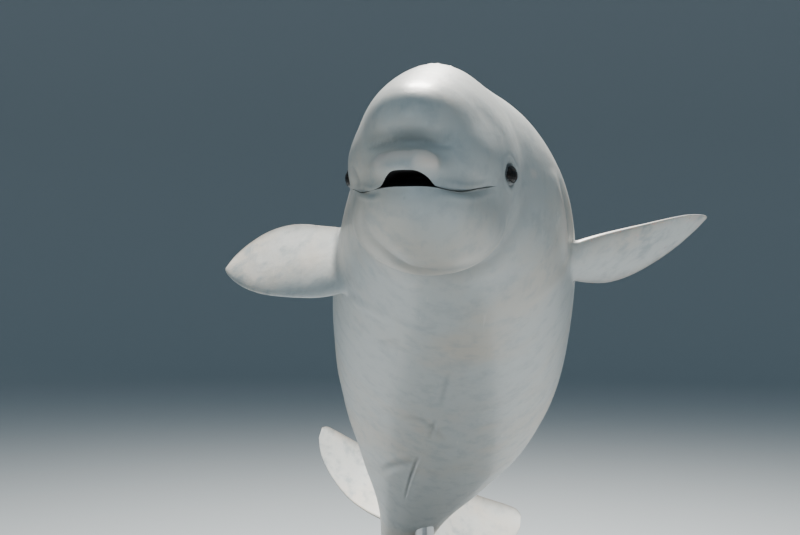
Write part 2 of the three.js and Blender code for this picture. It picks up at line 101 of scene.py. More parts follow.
def studio_floor():
    turns = [math.pi / 2 * i / CURVE_STEPS for i in range(CURVE_STEPS + 1)]
    curve = [(FLOOR_CURVE * math.sin(t), FLOOR_CURVE - FLOOR_CURVE * math.cos(t)) for t in turns]
    profile = [(FLOOR_FLAT * i / FLAT_RINGS, 0.0) for i in range(1, FLAT_RINGS)]
    profile += [(FLOOR_FLAT + out, up) for out, up in curve]
    profile += [(FLOOR_FLAT + FLOOR_CURVE, WALL_HIGH)]
    round_turns = [2 * math.pi * k / FLOOR_TURNS for k in range(FLOOR_TURNS)]
    verts = [(0, 0, 0)] + [(r * math.cos(a), r * math.sin(a), z) for r, z in profile for a in round_turns]
    faces = [(0, 1 + k, 1 + (k + 1) % FLOOR_TURNS) for k in range(FLOOR_TURNS)]
    for i in range(len(profile) - 1):
        for k in range(FLOOR_TURNS):
            a, b = 1 + i * FLOOR_TURNS + k, 1 + i * FLOOR_TURNS + (k + 1) % FLOOR_TURNS
            faces.append((a, a + FLOOR_TURNS, b + FLOOR_TURNS, b))
    mesh = bpy.data.meshes.new("studio_floor")
    mesh.from_pydata(verts, [], faces)
    mesh.polygons.foreach_set("use_smooth", [True] * len(faces))
    floor = bpy.data.objects.new("studio_floor", mesh)
    bpy.context.collection.objects.link(floor)
    paper = bpy.data.materials.new("studio_paper")
    paper.use_nodes = True
    shader = paper.node_tree.nodes["Principled BSDF"]
    shader.inputs["Base Color"].default_value = PAPER
    shader.inputs["Roughness"].default_value = 0.9
    mesh.materials.append(paper)
    floor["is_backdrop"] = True


studio_floor()


def soft_lamp(name, place, aim, size, watts, colour):
    lamp = bpy.data.lights.new(name, "AREA")
    lamp.shape = "RECTANGLE"
    lamp.size, lamp.size_y = size
    lamp.energy = watts
    lamp.color = colour
    holder = bpy.data.objects.new(name, lamp)
    holder.visible_camera = False
    holder.location = place
    holder.rotation_euler = (Vector(aim) - Vector(place)).to_track_quat("-Z", "Y").to_euler()
    bpy.context.collection.objects.link(holder)


DAYLIGHT, COOL_LIGHT = (1.0, 0.96, 0.89), (0.66, 0.87, 1.0)
soft_lamp("daylight", (0.25, 0.75, 4.9), aim=(0.0, -1.0, 1.3), size=(1.3, 1.1), watts=720, colour=DAYLIGHT)
soft_lamp("front_fill", (-1.4, -7.6, 2.4), aim=(0.0, -0.5, 1.0), size=(3.0, 2.2), watts=56, colour=COOL_LIGHT)

world = bpy.data.worlds.new("studio_air")
world.use_nodes = True
sky = world.node_tree.nodes["Background"]
sky.inputs["Color"].default_value = AIR
sky.inputs["Strength"].default_value = AIR_STRENGTH
bpy.context.scene.world = world

# Posture. The live whale is one long soft body on a bending spine. Its head is level, its back slopes
# down behind, and the flukes are flicked up. Sizes are in millimetres, shares are of the length.
MM = 0.001
LENGTH = 3500
HEAD_SHARE = 0.086  # the middle of the head, between the eyes
HEAD_PLACE = np.array([-30.0, -1430.0, 1549.0])  # where that middle is
HEAD_CORE = 170  # how far the body itself reaches forward, under the head's forms
TAIL_END = 1.04
STEP = 0.002

POSTURE = [
    # share, pitch, yaw, roll
    (0.0, 8, 12, 0),
    (0.1, 8, 12, 0),
    (0.16, 12, 10, 4),
    (0.24, 18, 2, 8),
    (0.36, 22, 1, 10),
    (0.44, 27, 1, 12),
    (0.5, 34, -2, 15),
    (0.56, 40, -6, 19),
    (0.62, 44, -11, 24),
    (0.7, 46, -12, 27),
    (0.78, 44, -11, 28),
    (0.84, 25, -1, 31),
    (0.9, -15, 10, 34),
    (0.95, -40, 15, 37),
    (1.0, -49, 16, 40),
    (1.04, -51, 16, 40),
]


def smooth_table(rows):
    """A smooth curve through a table's rows. The first column is the place."""
    rows = np.array(rows, float)
    place, values = rows[:, 0], rows[:, 1:]
    before = np.maximum(np.arange(len(rows)) - 1, 0)
    after = np.minimum(np.arange(len(rows)) + 1, len(rows) - 1)
    slope = (values[after] - values[before]) / (place[after] - place[before])[:, None]

    def read(at):
        at = np.clip(np.asarray(at, float), place[0], place[-1])
        i = np.clip(np.searchsorted(place, at, side="right") - 1, 0, len(place) - 2)
        span = (place[i + 1] - place[i])[..., None]
        t = (at - place[i])[..., None] / span
        rise = values[i + 1] - values[i]
        m, n = slope[i] * span, slope[i + 1] * span
        return values[i] + t * m + t**2 * (3 * rise - 2 * m - n) + t**3 * (m + n - 2 * rise)

    return read


posture = smooth_table(POSTURE)


def axes_at(share):
    """The body's left side, the way to the snout and its back, at shares of the length."""
    pitch, yaw, roll = np.moveaxis(np.radians(posture(share)), -1, 0)
    level = np.stack([np.cos(yaw), -np.sin(yaw), 0 * yaw], -1)
    upright = np.stack([np.sin(yaw) * np.sin(pitch), np.cos(yaw) * np.sin(pitch), np.cos(pitch)], -1)
    forward = np.stack([-np.sin(yaw) * np.cos(pitch), -np.cos(yaw) * np.cos(pitch), np.sin(pitch)], -1)
    cos, sin = np.cos(roll)[..., None], np.sin(roll)[..., None]
    return level * cos - upright * sin, forward, upright * cos + level * sin


steps_ahead, steps_behind = round(HEAD_SHARE / STEP), round((TAIL_END - HEAD_SHARE) / STEP)
spine_shares = HEAD_SHARE + STEP * np.arange(-steps_ahead, steps_behind + 1)
spine_steps = axes_at((spine_shares[1:] + spine_shares[:-1]) / 2)[1] * STEP * LENGTH
spine_places = np.vstack([np.zeros(3), -np.cumsum(spine_steps, 0)])
spine_places += HEAD_PLACE - spine_places[steps_ahead]


def spine_at(share):
    return np.stack([np.interp(share, spine_shares, spine_places[:, k]) for k in range(3)], -1)


# Flesh. Thick blubber under smooth skin: a body of oval sections, and a head whose melon, beak, cheek
# flaps, jaw and throat swell out of it and melt into each other.
GIRTH = [
    # share, half width, height over the spine, depth under it, squareness
    (0.086, 150, 150, 150, 2.0),
    (0.12, 188, 244, 190, 2.12),
    (0.16, 238, 281, 228, 2.12),
    (0.2, 278, 288, 262, 2.1),
    (0.26, 312, 305, 292, 2.15),
    (0.34, 344, 325, 322, 2.2),
    (0.42, 362, 325, 340, 2.2),
    (0.5, 366, 312, 340, 2.15),
    (0.56, 346, 295, 316, 2.1),
    (0.6, 320, 280, 290, 2.1),
    (0.64, 278, 262, 258, 2.05),
    (0.68, 232, 240, 226, 2.0),
    (0.72, 176, 212, 192, 2.0),
    (0.76, 132, 185, 162, 2.0),
    (0.8, 104, 158, 138, 2.0),
    (0.85, 84, 130, 115, 2.0),
    (0.9, 58, 92, 82, 2.0),
    (0.94, 38, 50, 48, 2.0),
    (0.97, 24, 26, 26, 2.0),
    (0.99, 12, 12, 12, 2.0),
    (1.04, 10, 10, 10, 2.0),
]
RIDGE_FROM, RIDGE_TO, RIDGE_HIGH, RIDGE_WIDE = 0.46, 0.72, 15, 0.11  # the low ridge along the back
HEAD_FORMS_END = 0.3  # the share of the length past which no head form reaches
HEAD_FORMS = [
    # middle [left, forward, up], half sizes, tilt of the nose, how widely it melts into the rest
    ((0, -10, 0), (179, 160, 178), 0, 60),  # skull and cheeks
    ((0, -60, 80), (150, 230, 176), 0, 60),  # nape and crown
    ((0, 124, 68), (108, 164, 102), 0, 76),  # melon
    ((0, 196, -32), (82, 108, 40), -4, 22),  # upper beak
    ((68, 102, -4), (85, 128, 82), 0, 46),  # left cheek
    ((-68, 102, -4), (85, 128, 82), 0, 46),  # right cheek
    ((0, 122, -100), (134, 150, 84), 4, 26),  # lower jaw
    ((0, 30, -108), (160, 180, 112), 0, 40),  # throat
]
MOUTH_LINE = [
    # side, lower lip, opening, in degrees seen from the middle of the head
    (0, -16.0, 6.4),
    (5, -16.0, 6.0),
    (9, -16.2, 3.8),
    (12.5, -16.6, 0.6),
    (25, -18.2, 0.34),
    (40, -16.7, 0.34),
    (50, -15.2, 0.34),
    (58, -13.5, 0.34),
]
MOUTH_CORNER = MOUTH_LINE[-1][0]
MOUTH_OPEN_TO = 13  # degrees to the side
MOUTH_DEEP = 120
MOUTH_SHALLOW = 16  # beyond the opening, where the lips only meet
# the inside of the mouth is painted with shade, near black where it is open; the line between the closed lips
# gets this share of it
LIPS_SHADE = 0.4  # how dark the line between closed lips is, with the open mouth at 1

COLUMNS = 256  # points round the body
TAIL_COLUMNS = COLUMNS // 2
CROWD_AT = np.radians([0, 90, 180, 270, 360])  # they crowd at the eyes, the lips and the belly's middle
CROWD = (2.6, 1.1, 2.6, 1.1, 2.6)
CROWD_WIDE = np.radians([11, 16, 11, 16, 11])
TURN_SAMPLES = 7201
WALK_START, WALK_STEP, WALK_END = 80, 20, 900  # a ray's walk from inside the body to the skin
HALVINGS = 18  # how often the last step of that walk is halved

girth = smooth_table(GIRTH)
mouth_line = smooth_table(MOUTH_LINE)
head_left, head_forward, head_up = axes_at(HEAD_SHARE)
head_axes = np.stack([head_left, head_forward, head_up])


def into_head(points):
    return (points - HEAD_PLACE) @ head_axes.T


def out_of_head(points):
    return points @ head_axes + HEAD_PLACE


def crowded_angles(count):
    turn = np.linspace(0, 2 * math.pi, TURN_SAMPLES)
    crowd = 1 + sum(c * np.exp(-(((turn - a) / w) ** 2)) for a, c, w in zip(CROWD_AT, CROWD, CROWD_WIDE))
    total = np.concatenate([[0], np.cumsum((crowd[1:] + crowd[:-1]) / 2)])
    return np.interp(np.arange(count) / count * total[-1], total, turn)


def section_reach(share, angle):
    """How far the body's own section reaches from the spine."""
    wide, over, under, square = np.moveaxis(girth(share), -1, 0)
    high = np.where(np.sin(angle) > 0, over, under)
    along = np.clip((share - RIDGE_FROM) / (RIDGE_TO - RIDGE_FROM), 0, 1)
    ridge = RIDGE_HIGH * np.sin(math.pi * along) * np.exp(-(((angle - math.pi / 2) / RIDGE_WIDE) ** 2))
    oval = (abs(np.cos(angle) / wide) ** square + abs(np.sin(angle) / high) ** square) ** (-1 / square)
    return oval + ridge


def melt(a, b, width):
    """The smaller of two distances, rounded where they are nearly equal."""
    h = np.maximum(width - abs(a - b), 0) / width
    return np.minimum(a, b) - h * h * width / 4


def head_field(points, start):
    """Below zero inside the head's forms, at points in the head's own frame."""
    distance = start
    for at, size, tilt, width in HEAD_FORMS:
        x, y, z = (points - np.array(at)).T
        cos, sin = math.cos(math.radians(tilt)), math.sin(math.radians(tilt))
        half = np.array(size, float)[:, None]
        scaled = np.stack([x, y * cos + z * sin, z * cos - y * sin]) / half
        reach = np.sqrt((scaled**2).sum(0))
        slope = np.sqrt(((scaled / half) ** 2).sum(0))
        distance = melt(distance, reach * (reach - 1) / np.maximum(slope, 1e-9), width)
    return distance


def skin_reach(origin, way, own):
    """How far rays from inside the body go before they leave the skin."""
    start, along = into_head(origin), way @ head_axes.T
    low, high = np.zeros(len(way)), np.full(len(way), float(WALK_START))
    walking = np.ones(len(way), bool)
    while walking.any():
        walking &= head_field(start + along * high[:, None], high - own) <= 0
        walking &= high < WALK_END
        low, high = np.where(walking, high, low), np.where(walking, high + WALK_STEP, high)
    for _ in range(HALVINGS):
        middle = (low + high) / 2
        out = head_field(start + along * middle[:, None], middle - own) > 0
        low, high = np.where(out, low, middle), np.where(out, middle, high)
    return low


def head_way(side, rise):
    """The way from the middle of the head, by its degrees to the left and up."""
    a, e = np.radians(side), np.radians(rise)
    return np.stack([np.sin(a) * np.cos(e), np.cos(a) * np.cos(e), np.sin(e) + 0 * a], -1)


def head_reach(way):
    section = section_reach(HEAD_SHARE, np.arctan2(way[:, 2], way[:, 0]))
    own = 1 / np.hypot(np.hypot(way[:, 0], way[:, 2]) / section, way[:, 1] / HEAD_CORE)
    return skin_reach(np.tile(HEAD_PLACE, (len(way), 1)), way @ head_axes, own)


def mouth_side(angle):
    """How far to the side a column of points stands on the lips: corner, over the upper lip, corner, back."""
    return MOUTH_CORNER * (1 - 2 * np.minimum(angle, 2 * math.pi - angle) / math.pi)


def openness(angle):
    return np.exp(-((mouth_side(angle) / MOUTH_OPEN_TO) ** 6))


def lips_way(angle, together):
    """The way to the lips' rims, or, with together at 1, to the line halfway between them."""
    lower, gap = np.moveaxis(mouth_line(abs(mouth_side(angle))), -1, 0)
    gap = gap * np.minimum(1, 4 * abs(np.sin(angle)))
    upper = np.where(np.sin(angle) > 1e-9, 1.0, 0.0)
    return head_way(mouth_side(angle), lower + gap * (upper + (0.5 - upper) * together))


def body_ring(share, angle):
    left, _, up = axes_at(share)
    way = np.cos(angle)[:, None] * left + np.sin(angle)[:, None] * up
    reach = section_reach(share, angle)
    origin = np.tile(spine_at(share), (len(angle), 1))
    if share < HEAD_FORMS_END:
        reach = skin_reach(origin, way, reach)
    return origin + way * reach[:, None]


def face_ring(opened, angle):
    """A ring of the face between the lips, at 0, and the rim where the body's rings start, at 1."""
    lips, rim = lips_way(angle, 0), np.stack([np.cos(angle), 0 * angle, np.sin(angle)], -1)
    between = np.arccos(np.clip((lips * rim).sum(1), -1, 1))[:, None]
    way = lips * np.sin((1 - opened) * between) + rim * np.sin(opened * between)
    way /= np.linalg.norm(way, axis=1)[:, None]
    return out_of_head(way * head_reach(way)[:, None])


def mouth_ring(deep, angle):
    """A ring inside the mouth, from the lips, at 0, to the line where its walls meet, at 1."""
    depth = MOUTH_SHALLOW + (MOUTH_DEEP - MOUTH_SHALLOW) * openness(angle)
    way = lips_way(angle, 1 if deep == 1 else 0.5 * deep)
    return out_of_head(way * (head_reach(way) - deep * depth)[:, None])


tail_rings = np.linspace(0.985, 0.745, 46)
loin_rings, belly_rings = np.linspace(0.74, 0.64, 18), np.linspace(0.634, 0.44, 48)
body_rings = np.concatenate([loin_rings, belly_rings, np.linspace(0.432, 0.1, 86)])
cheek_rings, muzzle_rings = np.linspace(1, 0.56, 26), np.linspace(0.545, 0.12, 34)
face_rings = np.concatenate([cheek_rings, muzzle_rings, 0.12 * np.linspace(0.92, 0, 18) ** 1.4])
mouth_rings = np.linspace(0.02, 1, 14) ** 1.5

angle = crowded_angles(COLUMNS)
rings = [np.tile(spine_at(tail_rings[0]), (TAIL_COLUMNS, 1))]
rings += [body_ring(share, angle[::2]) for share in tail_rings]
rings += [body_ring(share, angle) for share in body_rings]
rings += [face_ring(opened, angle) for opened in face_rings]
rings += [mouth_ring(deep, angle) for deep in mouth_rings]
outside = [np.zeros(len(ring)) for ring in rings[: -len(mouth_rings)]]
# painted shade inside the mouth: how dark each of its points is painted, none outside
mouth_shade_amount = LIPS_SHADE + (1 - LIPS_SHADE) * openness(angle)
mouth_shade_rings = np.concatenate(outside + [mouth_shade_amount] * len(mouth_rings))


def ring_faces(counts):
    """Quads between rings of points, and fans where a ring has half as many as the next."""
    faces, at = [], 0
    for n, m in zip(counts, counts[1:]):
        j = np.arange(n)
        k = (j + 1) % n
        if n == m:
            faces += np.stack([at + j, at + k, at + n + k, at + n + j], 1).tolist()
        else:
            faces += np.stack([at + j, at + n + 2 * j + 1, at + n + 2 * j], 1).tolist()
            faces += np.stack([at + j, at + k, at + n + 2 * j + 1], 1).tolist()
            faces += np.stack([at + k, at + n + 2 * k, at + n + 2 * j + 1], 1).tolist()
        at += n
    return faces


# Flippers and flukes. Firm paddles without blubber, thick at the leading edge and thin at the trailing
# edge. They grow out of the body without a seam, so they are joined to it and the joint is filled out.
FLIPPER = [
    # place along it, leading and trailing reach, thickness, bend
    (-0.22, 64, 78, 60, 0),
    (0.0, 88, 98, 50, 0),
    (0.14, 96, 112, 44, 2),
    (0.3, 94, 140, 39, 4),
    (0.46, 88, 163, 33, 6),
    (0.62, 79, 165, 27, 6),
    (0.77, 62, 142, 21, 3),
    (0.89, 38, 100, 15, 0),
    (0.97, 15, 50, 9, -4),
    (1.0, 2, 12, 5, -6),
]
SWELL_FADES = 0.3  # of the flipper's length
FLIPPERS = [
    # root, tip, way to the leading edge, which side is up, size, swelling of the trailing edge at the root
    ((318, -905, 1352), (745, -730, 1484), (0.25, -0.77, 0.59), 1, 1.05, -32),
    ((-250, -800, 1350), (-600, -560, 1339), (-0.22, -0.6, -0.77), -1, 1.035, 42),
]
FLUKE = [
    # out from the middle, shares of the length at its edges, thickness, bend
    (0, 0.898, 0.985, 58, 0),
    (50, 0.898, 0.994, 50, -7),
    (120, 0.899, 1.002, 42, -24),
    (200, 0.902, 1.005, 34, -38),
    (290, 0.91, 1.005, 26, -44),
    (380, 0.928, 1.006, 19, -36),
    (440, 0.948, 1.006, 14, -26),
    (480, 0.966, 1.004, 9, -16),
    (502, 0.981, 0.998, 5, -8),
]
BLADE_RINGS = 64
BLADE_CROWDS = 1.6  # how much closer together the rings are near the tip
FOIL_POINTS = 48
FOIL_FULL, FOIL_THINS = 0.62, 0.62  # a foil's fullness, and how much of it is gone at the trailing edge
FILLET = 22  # how far the joints are filled out
FILLET_PASSES, FILLET_PULL = 18, 0.6
SAME_POINT = 1e-5

flipper_table, fluke_table = smooth_table(FLIPPER), smooth_table(FLUKE)
foil_turn = 2 * math.pi * np.arange(FOIL_POINTS) / FOIL_POINTS
foil_along = (1 - np.cos(foil_turn)) / 2
foil_rise = np.sin(foil_turn) * (1 - FOIL_THINS * foil_along**1.5) * FOIL_FULL


def unit(v):
    return v / np.linalg.norm(v)


def blade_places(start, end):
    """Places along a blade, closer together near its tip."""
    t = np.linspace(0, 1, BLADE_RINGS)
    return start + (end - start) * (1 - (1 - t) ** BLADE_CROWDS)


def flipper_rings(root, tip, lead, side, size, swell):
    """Foils across the line from root to tip. The first and the last are flat, so that they close."""
    root, tip, lead = np.array(root, float), np.array(tip, float), unit(np.array(lead))
    span = tip - root
    upper = unit(np.cross(span, lead)) * side
    ends = (FLIPPER[0][0], FLIPPER[-1][0])
    for place in blade_places(*ends):
        front, back, thick, bend = flipper_table(place)
        front, back = front * size, back * size + swell * math.exp(-((place / SWELL_FADES) ** 2))
        if place in ends:
            thick = 0
        middle = root + span * place + upper * bend
        across = np.outer(front - (front + back) * foil_along, lead)
        yield middle + across + np.outer(thick * foil_rise, upper)


def fluke_ring(out):
    front, back, thick, bend = fluke_table(abs(out))
    if abs(out) == FLUKE[-1][0]:
        thick = 0
    share = front + (back - front) * foil_along
    left, _, up = axes_at(share)
    return spine_at(share) + left * out + up * (bend + thick * foil_rise)[:, None]


def outward(points, faces):
    """The faces, turned so that they face out of the closed form."""
    corners = np.array([f if len(f) == 4 else [*f, f[2]] for f in faces])
    a, b, c, d = (points[corners[:, k]] for k in range(4))
    volume = (np.cross(b - a, c - a) * a).sum() + (np.cross(c - a, d - a) * a).sum()
    return faces if volume > 0 else [f[::-1] for f in faces]


def form_object(name, rings):
    """A mesh object from rings of points, closed at its folded ends."""
    points = np.concatenate(rings)
    mesh = bpy.data.meshes.new(name)
    mesh.from_pydata((points * MM).tolist(), [], outward(points, ring_faces([len(r) for r in rings])))
    form = bmesh.new()
    form.from_mesh(mesh)
    bmesh.ops.remove_doubles(form, verts=form.verts, dist=1e-6)
    bmesh.ops.dissolve_degenerate(form, dist=1e-7, edges=form.edges)
    bmesh.ops.recalc_face_normals(form, faces=form.faces)
    form.to_mesh(mesh)
    form.free()
    piece = bpy.data.objects.new(name, mesh)
    bpy.context.collection.objects.link(piece)
    return piece


skin = form_object("whale_skin", rings)
half_span = blade_places(0, FLUKE[-1][0])
blade_rings = [list(flipper_rings(*flipper)) for flipper in FLIPPERS]
blade_rings.append([fluke_ring(out) for out in [*half_span[:0:-1], *-half_span]])
blades = [form_object(f"blade_{i}", rows) for i, rows in enumerate(blade_rings)]
grown = np.array([v.co for form in [skin, *blades] for v in form.data.vertices])

for blade in blades:
    joint = skin.modifiers.new("joint", "BOOLEAN")
    joint.operation = "UNION"
    joint.solver = "MANIFOLD"
    joint.object = blade
    joined = bpy.data.meshes.new_from_object(skin.evaluated_get(bpy.context.evaluated_depsgraph_get()))
    skin.modifiers.clear()
    skin.data = joined
    bpy.data.objects.remove(blade)


def kd_tree(points):
    tree = KDTree(len(points))
    for i, p in enumerate(points):
        tree.insert(p, i)
    tree.balance()
    return tree


def mesh_points(mesh):
    points = np.empty(len(mesh.vertices) * 3)
    mesh.vertices.foreach_get("co", points)
    return points.reshape(-1, 3)


def fill_joints(mesh, grown):
    """Melts the skin together where the blades were joined on, which is where it has points that are new."""
    points = mesh_points(mesh)
    known = kd_tree(grown)
    line = [p for p in points if known.find(p)[2] > SAME_POINT]
    near = kd_tree(line)
    away = np.array([near.find(p)[2] for p in points]) / (FILLET * MM)
    weight = (np.clip(1 - away, 0, 1) ** 1.5)[:, None]
    edges = np.empty(len(mesh.edges) * 2, int)
    mesh.edges.foreach_get("vertices", edges)
    edges = edges.reshape(-1, 2)
    soft = np.unique(edges[(weight[edges[:, 0], 0] > 0) | (weight[edges[:, 1], 0] > 0)])
    edges = edges[np.isin(edges, soft).any(1)]
    count = np.bincount(edges.ravel(), minlength=len(points))[:, None]
    for _ in range(FILLET_PASSES):
        total = np.zeros_like(points)
        np.add.at(total, edges[:, 0], points[edges[:, 1]])
        np.add.at(total, edges[:, 1], points[edges[:, 0]])
        points = points + weight * FILLET_PULL * (total / np.maximum(count, 1) - points) * (count > 0)
    mesh.vertices.foreach_set("co", points.ravel())
    mesh.update()


fill_joints(skin.data, grown)

# Lids, folds and slits. The skin folds where the whale bends and where its organs close: at the eyes, the
# mouth, the blowhole, the ears, the throat, the navel and the slit behind it.
EYES = {"eye_left": 1, "eye_right": -1}
EYE_SIDE, EYE_RISE, EYE_LOOKS = 81, -2.5, 58  # where it sits and where it looks, in degrees
EYE_SUNK, EYE_BALL = 14, 23
EYE_LONG, EYE_HIGH, EYE_TILT = 17, 17, 16  # half the lids' opening, and how far its top leans back
EYE_BLUNT = 2.5  # how square the opening is
LID_OVER, LID_RIM = 1.5, 0.7  # the lids' height over the ball, and that of their rims over the lids
LID_UNDER = 5  # how far the skin goes under the ball inside the opening
BROW = (34, 15, 26, 5)  # the hollow ahead of the eye: how far ahead, half its length and height, its depth
BLOWHOLE_AHEAD, BLOWHOLE_RADIUS, BLOWHOLE_DEEP, BLOWHOLE_WIDE = 12, 26, 13, 5
EAR_SIDE, EAR_RISE, EAR_WIDE = 104, -5, 4
BANK_AWAY = 2.2  # where the bank beside a fold is, in half widths of the fold
# the grooves of the folds are painted with shade, darker as they are deeper, fully from this depth on
FOLD_SHADE_DEPTH = 6  # from this depth on, a fold is as dark as it gets
FOLDS = [
    # points in the photograph, half width, depth, height of the banks beside it
    # under the melon: its crease, the hollow round that, and the upper lip's roll and knob
    (
        [(368, 146.5), (377, 144.6), (390, 143.6), (405, 143.2), (425, 143.3), (440, 144.2), (452, 146)],
        *(4.5, 11, 3),
    ),
    ([(364, 141), (377, 138.5), (395, 137.5), (420, 137.5), (440, 139), (456, 142)], 21, 10, 0),
    ([(373, 170), (378, 160), (388, 155.5), (403, 154.5), (418, 155.5), (430, 158), (439, 168)], 8, -8, 0),
    ([(410, 158), (420, 158.5), (430, 161), (438, 165)], 13, -9, 0),
    # round the throat: a wide fold and the crease in it
    (
        [(361, 200), (363, 227), (380, 247), (407, 267), (437, 273)]
        + [(463, 271), (490, 260), (510, 238), (524, 212), (529, 190)],
        *(12, 4, 2),
    ),
    (
        [(361, 205), (363, 227), (380, 247), (407, 267), (437, 273)]
        + [(463, 271), (490, 260), (510, 238), (522, 216)],
        *(4.5, 4, 0),
    ),
    # on the belly: the navel's folds, the slit behind it and the fold at its side
    ([(449, 372), (445, 388), (440, 408)], 8, 3, 2),
    ([(403, 417), (418, 420), (427, 423), (433, 428), (438, 433), (446, 441)], 6, 4, 2.5),
    ([(435, 419), (433, 428), (430, 439)], 6, 4, 3),
    ([(419, 457), (414, 468), (410, 480), (405, 498)], 3.6, 8, 2.5),
    ([(378, 473), (392, 467), (404, 464), (418, 461)], 11, 3, 2),
    # a light crease on the right of the belly
    ([(374, 344), (388, 341), (402, 342)], 6, 2, 1),
    # at the corners of the mouth
    ([(437, 187), (450, 190), (466, 192.5), (480, 191), (493, 186)], 6, 4, 2),
    ([(380, 191), (372, 194), (364, 192), (357, 188)], 5, 3, 2),
    # down the left flank over the flipper: a ridge and its groove
    ([(553, 170), (560, 205), (564, 235), (566, 264)], 9, -9, 0),
    ([(560, 180), (566.5, 208), (569.5, 235), (570, 256)], 7, 8, 0),
    # where the right flipper springs
    ([(335.5, 234), (334.6, 255), (333.4, 284)], 6, 4, 0),
    # small pits on the chin
    ([(401.5, 193), (402.5, 193.5)], 2.2, 2, 0.6),
    ([(406, 194.5), (407, 194.8)], 2.6, 2.4, 0.6),
    ([(403.5, 198), (404.5, 198.2)], 2.2, 2, 0.6),
    ([(411, 197), (412, 197)], 1.8, 1.4, 0.4),
    # low muscle ridges from the flippers' roots towards the chest
    ([(346, 296), (356, 301), (370, 309), (390, 321)], 9, -6, 0),
    ([(566, 268), (556, 280), (545, 290), (531, 302)], 9, -6, 0),
    # ahead of the right eye
    ([(350, 164), (352.5, 171), (356, 179), (359.5, 187)], 5, 5, 0),
]
PALE_MARKS_AND_HIGHLIGHTS = [
    # pinkish strokes, lightened as painted highlight, on the upper lip's roll and along the flank's ridge,
    # and a pale mark behind the eye: points in the photograph, half width, strength
    ([(375, 168), (379, 160.5), (387, 156), (403, 154.8), (418, 156), (430, 160)], 10, 0.9),
    ([(410, 158), (420, 159), (430, 161.5), (440, 166)], 15, 1.0),
    ([(532, 169), (534, 174), (533, 179)], 6, 0.5),
    ([(556, 182), (561, 205), (564, 235), (566, 260)], 6, 0.5),
]

points = mesh_points(skin.data) / MM


def bent_line(corners, steps=8):
    """A smooth line through corner points."""
    corners = np.array(corners, float)
    table = smooth_table(np.column_stack([np.arange(len(corners)), corners]))
    return table(np.linspace(0, len(corners) - 1, steps * (len(corners) - 1) + 1))


def off_line(at, line):
    """How far points are from a line, and how far along it, from 0 to 1."""
    best, along = np.full(len(at), np.inf), np.zeros(len(at))
    for i in range(len(line) - 1):
        a, b = line[i], line[i + 1]
        t = np.clip((at - a) @ (b - a) / ((b - a) @ (b - a)), 0, 1)
        away = np.linalg.norm(at - a - t[:, None] * (b - a), axis=1)
        nearer = away < best
        best, along = np.where(nearer, away, best), np.where(nearer, (i + t) / (len(line) - 1), along)
    return best, along


def groove(away, half_width, depth, bank):
    """The skin's rise beside and its dip in a fold."""
    away = away / half_width
    return bank * np.exp(-((away - BANK_AWAY) ** 2)) - depth * np.exp(-(away**2))


mesh_normals = np.empty(len(skin.data.vertices) * 3)
skin.data.vertices.foreach_get("normal", mesh_normals)
normals = mesh_normals.reshape(-1, 3)
metres = points * MM
view = EYE_POINT - metres
facing = np.clip((normals * view).sum(1) / np.linalg.norm(view, axis=1) * 4, 0, 1)  # 0 past the outline
pixels = photo_pixel(metres)
pixel_size = (metres[:, 1] - EYE_POINT[1]) / FOCAL_PIXELS / MM

rise = np.zeros(len(points))
fold_shade_mask = np.zeros(len(points))
for corners, half_width, depth, bank in FOLDS:
    away, along = off_line(pixels, bent_line(corners))
    away *= pixel_size
    fade = np.sin(math.pi * along) ** 0.6 * facing
    rise += fade * groove(away, half_width, depth, bank)
    # painted shade along the groove of each fold that dips
    if depth > 0:
        dark = fade * np.exp(-((away / half_width) ** 2)) * min(1, depth / FOLD_SHADE_DEPTH)
        fold_shade_mask = np.maximum(fold_shade_mask, dark)

# painted highlight on the upper lip's roll and the flank's ridge, and the pale mark behind the eye
pale_and_highlight_mask = np.zeros(len(points))
for corners, half_width, strength in PALE_MARKS_AND_HIGHLIGHTS:
    away, along = off_line(pixels, bent_line(corners))
    fade = np.sin(math.pi * along) ** 0.5 * facing * strength
    pale_and_highlight_mask = np.maximum(pale_and_highlight_mask, fade * np.exp(-((away * pixel_size / half_width) ** 2)))

local = into_head(points)
crown = float(head_reach(head_way(np.array([0.0]), np.array([90.0])))[0])
turn = np.linspace(0, math.pi, 25)
slit_line = np.stack([BLOWHOLE_RADIUS * np.cos(turn), BLOWHOLE_AHEAD - BLOWHOLE_RADIUS * np.sin(turn)], 1)
away, along = off_line(local[:, :2], slit_line)
on_crown = np.clip((local[:, 2] - crown + 60) / 20, 0, 1)
slit_fade = np.sin(math.pi * np.clip(along, 0.02, 0.98)) ** 0.5 * on_crown
rise += slit_fade * groove(away, BLOWHOLE_WIDE, BLOWHOLE_DEEP, 4)
# painted shade in the blowhole's slit, and below in the ears' pinholes
slit_shade_mask = slit_fade * np.exp(-((away / BLOWHOLE_WIDE) ** 2))
for side in (1, -1):
    pin = head_way(np.array([side * EAR_SIDE]), np.array([EAR_RISE]))
    away = np.linalg.norm(local - pin * head_reach(pin), axis=1)
    rise += groove(away, EAR_WIDE, 4, 1.5)
    slit_shade_mask = np.maximum(slit_shade_mask, np.exp(-((away / 3) ** 2)))
points = points + normals * rise[:, None]


def smooth_step(x, low, high):
    t = np.clip((x - low) / (high - low), 0, 1)
    return t * t * (3 - 2 * t)


